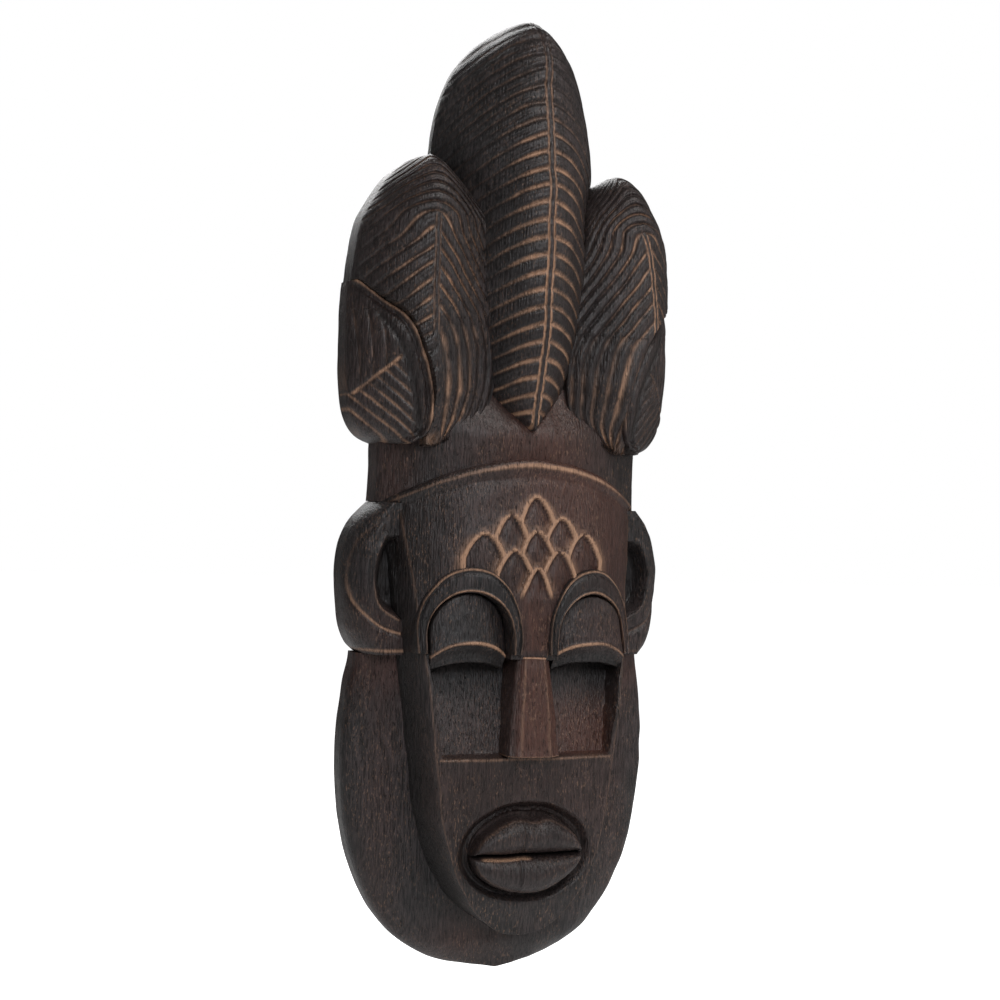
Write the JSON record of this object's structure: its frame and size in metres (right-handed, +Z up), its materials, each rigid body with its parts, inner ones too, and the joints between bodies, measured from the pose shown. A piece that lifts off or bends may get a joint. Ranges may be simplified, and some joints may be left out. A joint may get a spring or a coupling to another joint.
{
  "type": "carved wooden wall mask",
  "caption": "Tall carved wooden wall mask with a leaf headdress, closed eyes, full lips and a wide collar, glued up from carved blocks and hung by a ring on its back.",
  "frame": {"origin": "the wall hook, in the plane of the wall, where it carries the top of the hanger ring", "axes": "+X to the right of a person who looks at the mask, +Y from the mask into the wall (the face looks along -Y), +Z up along the mask"},
  "size_m": [0.2202, 0.08, 0.6],
  "materials": {
    "red_stained_wood": "red-brown stain rubbed back on the high spots, satin wax",
    "dark_stained_wood": "near-black brown stain, satin wax",
    "leaf_stained_wood": "near-black brown stain with veins cut through to tan wood, satin wax",
    "bare_wood": "bare sanded dowel",
    "zinc_steel": "zinc plated"
  },
  "bodies": {
    "mask": {"face_block": "red_stained_wood", "nose": "red_stained_wood", "crown_band": "red_stained_wood", "upper_lip": "dark_stained_wood", "lower_lip": "dark_stained_wood", "collar_board": "dark_stained_wood", "left_ear": "dark_stained_wood", "left_brow": "dark_stained_wood", "left_eyelid": "dark_stained_wood", "right_ear": "dark_stained_wood", "right_brow": "dark_stained_wood", "right_eyelid": "dark_stained_wood", "centre_plume": "leaf_stained_wood", "left_plume": "leaf_stained_wood", "left_side_leaf": "leaf_stained_wood", "right_plume": "leaf_stained_wood", "right_side_leaf": "leaf_stained_wood", "centre_plume_dowel": "bare_wood", "chin_dowel": "bare_wood", "crown_dowel_left": "bare_wood", "crown_dowel_right": "bare_wood", "left_plume_dowel": "bare_wood", "left_ear_dowel": "bare_wood", "left_collar_dowel": "bare_wood", "right_plume_dowel": "bare_wood", "right_ear_dowel": "bare_wood", "right_collar_dowel": "bare_wood", "hanger_strap": "zinc_steel", "hanger_screw_1": "zinc_steel", "hanger_screw_2": "zinc_steel"},
    "ring": {"hanger_ring": "zinc_steel"}
  },
  "joints": [
    {"name": "ring_swing", "type": "hinge", "parent": "mask", "child": "ring", "pos_m": [0, -0.0048, -0.0175], "axis": [-1, 0, 0], "range_deg": [0, 180]}
  ]
}
